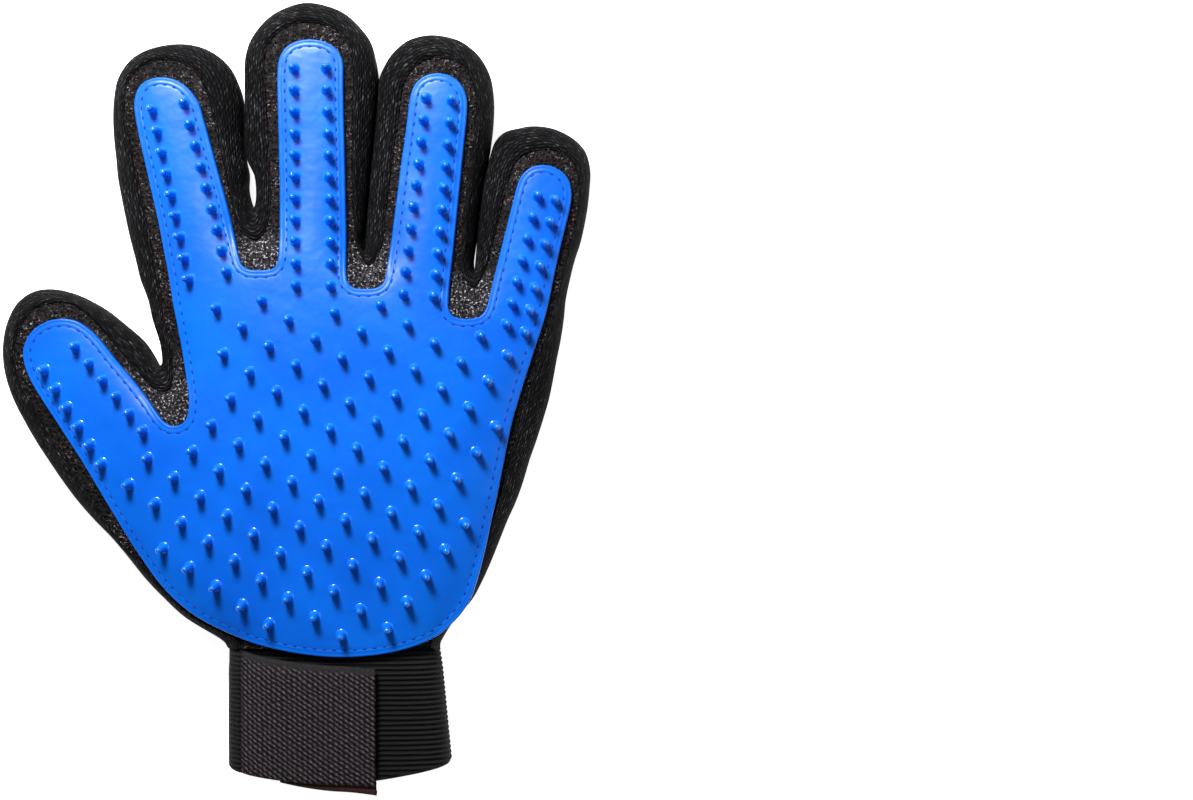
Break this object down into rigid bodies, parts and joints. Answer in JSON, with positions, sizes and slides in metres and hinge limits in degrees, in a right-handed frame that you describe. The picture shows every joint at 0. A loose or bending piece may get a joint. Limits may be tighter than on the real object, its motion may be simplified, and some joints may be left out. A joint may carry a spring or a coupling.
{
  "type": "pet grooming glove",
  "caption": "Five-finger pet grooming glove, left hand: blue rubber nub pad stitched to a black knit glove, ribbed cuff and hook-and-loop wrist strap",
  "frame": {"origin": "centre of the footprint on the rest plane, below the palm", "axes": "+Z out of the nubbed palm, +Y towards the fingertips, thumb at -X, so the back of the glove lies on z = 0"},
  "size_m": [0.1739, 0.2316, 0.029],
  "materials": {
    "rubber": "satin blue moulded rubber with short nubs",
    "mesh": "black open mesh knit with light flecks",
    "knit": "matt black ribbed stretch knit",
    "cuff_knit": "matt black ribbed elastic knit",
    "loop": "brushed loop pile",
    "hook": "hook fastener tape",
    "tape": "dark woven elastic tape with rows of pale flecks"
  },
  "bodies": {
    "palm": {"palm_mesh_panel": "mesh", "palm_back_panel": "knit", "palm_rubber_pad": "rubber", "thumb_side_gusset_palm": "knit", "little_side_gusset_palm": "knit", "web_gusset_thumb_index": "knit", "web_gusset_index_middle": "knit", "web_gusset_middle_ring": "knit", "web_gusset_ring_little": "knit", "cuff_band": "cuff_knit", "cuff_loop_panel": "loop", "strap_anchor": "tape"},
    "thumb": {"thumb_mesh_panel": "mesh", "thumb_back_panel": "knit", "thumb_rubber_pad": "rubber", "thumb_side_gusset": "knit"},
    "index": {"index_mesh_panel": "mesh", "index_back_panel": "knit", "index_rubber_pad": "rubber", "index_side_gusset": "knit"},
    "middle": {"middle_mesh_panel": "mesh", "middle_back_panel": "knit", "middle_rubber_pad": "rubber", "middle_side_gusset": "knit"},
    "ring": {"ring_mesh_panel": "mesh", "ring_back_panel": "knit", "ring_rubber_pad": "rubber", "ring_side_gusset": "knit"},
    "little": {"little_mesh_panel": "mesh", "little_back_panel": "knit", "little_rubber_pad": "rubber", "little_side_gusset": "knit"},
    "strap": {"strap_tape": "tape", "strap_hook_patch": "hook"}
  },
  "joints": [
    {"name": "thumb_flex", "type": "hinge", "parent": "palm", "child": "thumb", "pos_m": [-0.0558, -0.0014, 0.026], "axis": [0.8191, 0.5736, 0], "range_deg": [0, 45], "stiffness_Nm_per_rad": 0.02},
    {"name": "index_flex", "type": "hinge", "parent": "palm", "child": "index", "pos_m": [-0.0286, 0.0559, 0.026], "axis": [0.9962, 0.0872, 0], "range_deg": [0, 60], "stiffness_Nm_per_rad": 0.02},
    {"name": "middle_flex", "type": "hinge", "parent": "palm", "child": "middle", "pos_m": [0.0067, 0.0541, 0.026], "axis": [1, -0.0087, 0], "range_deg": [0, 60], "stiffness_Nm_per_rad": 0.02},
    {"name": "ring_flex", "type": "hinge", "parent": "palm", "child": "ring", "pos_m": [0.0386, 0.0445, 0.026], "axis": [0.9986, -0.0523, 0], "range_deg": [0, 60], "stiffness_Nm_per_rad": 0.02},
    {"name": "little_flex", "type": "hinge", "parent": "palm", "child": "little", "pos_m": [0.069, 0.0354, 0.026], "axis": [0.9945, -0.1045, 0], "range_deg": [0, 60], "stiffness_Nm_per_rad": 0.02},
    {"name": "strap_peel", "type": "hinge", "parent": "palm", "child": "strap", "pos_m": [-0.0202, -0.093, 0.014], "axis": [0, -1, 0], "range_deg": [0, 140]}
  ]
}
